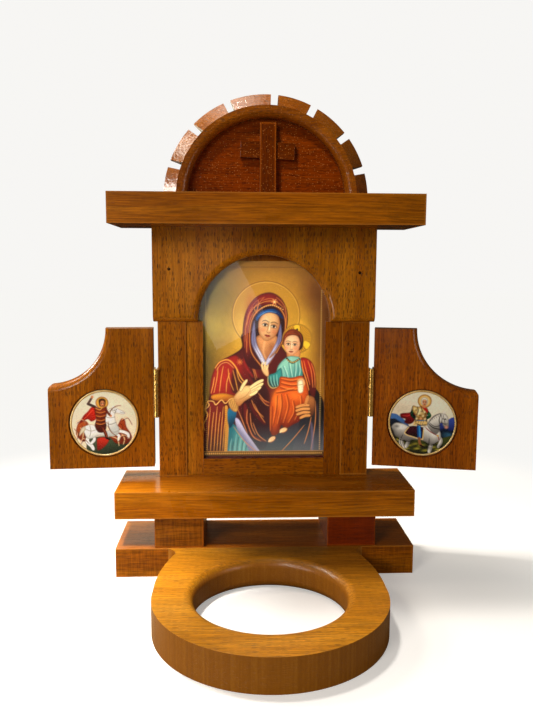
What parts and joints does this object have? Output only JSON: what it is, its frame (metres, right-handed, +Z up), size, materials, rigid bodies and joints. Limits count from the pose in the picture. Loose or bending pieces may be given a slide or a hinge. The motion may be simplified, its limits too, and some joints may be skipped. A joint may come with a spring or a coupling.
{
  "type": "tabletop icon shrine",
  "caption": "Tabletop wooden icon shrine: arched niche with glazed print, hinged side doors with medallions, rounded notched crown with a cross, and a projecting ring for an oil lamp glass.",
  "frame": {"origin": "on the table, under the middle of the base board", "axes": "+Z up; -Y to the front, the way the icon faces and the lamp ring projects; +X to the right as seen from the front"},
  "size_m": [0.3087, 0.1905, 0.3315],
  "materials": {
    "beech": "satin",
    "beech_light": "satin",
    "beech_dark": "satin",
    "icon_print": "gloss",
    "clear_glass": "gloss",
    "medallion_print": "gloss",
    "gilt_metal": "gloss",
    "hinge_brass": "satin",
    "screw_steel": "satin"
  },
  "bodies": {
    "case": {"base_board": "beech", "lamp_ring": "beech_light", "ring_dowels": "beech_light", "spacer_left": "beech_dark", "spacer_right": "beech_dark", "foot_screws": "screw_steel", "shelf_board": "beech", "shelf_screws": "screw_steel", "carcass_board": "beech_dark", "pilaster_left": "beech", "pilaster_right": "beech", "icon_stile_left": "beech", "icon_stile_right": "beech", "icon_rail": "beech", "icon_print": "icon_print", "icon_glass": "clear_glass", "arch_panel": "beech", "panel_brads": "screw_steel", "top_board": "beech", "top_screws": "screw_steel", "crown_arch": "beech_dark", "crown_panel": "beech_dark", "crown_dowels": "beech_light", "cross_upright": "beech", "cross_arm": "beech", "case_leaf_left": "hinge_brass", "case_leaf_right": "hinge_brass", "hinge_pin_left": "hinge_brass", "hinge_pin_right": "hinge_brass", "case_leaf_screws": "hinge_brass"},
    "door_left": {"door_left": "beech", "door_leaf_left": "hinge_brass", "door_screws_left": "hinge_brass", "medallion_left": "gilt_metal", "medallion_picture_left": "medallion_print"},
    "door_right": {"door_right": "beech", "door_leaf_right": "hinge_brass", "door_screws_right": "hinge_brass", "medallion_right": "gilt_metal", "medallion_picture_right": "medallion_print"}
  },
  "joints": [
    {"name": "hinge_left", "type": "hinge", "parent": "case", "child": "door_left", "pos_m": [-0.0776, 0.00995, 0.121], "axis": [0, 0, 1], "range_deg": [-4, 176]},
    {"name": "hinge_right", "type": "hinge", "parent": "case", "child": "door_right", "pos_m": [0.0776, 0.00995, 0.121], "axis": [0, 0, -1], "range_deg": [-12.5, 167.5]}
  ]
}
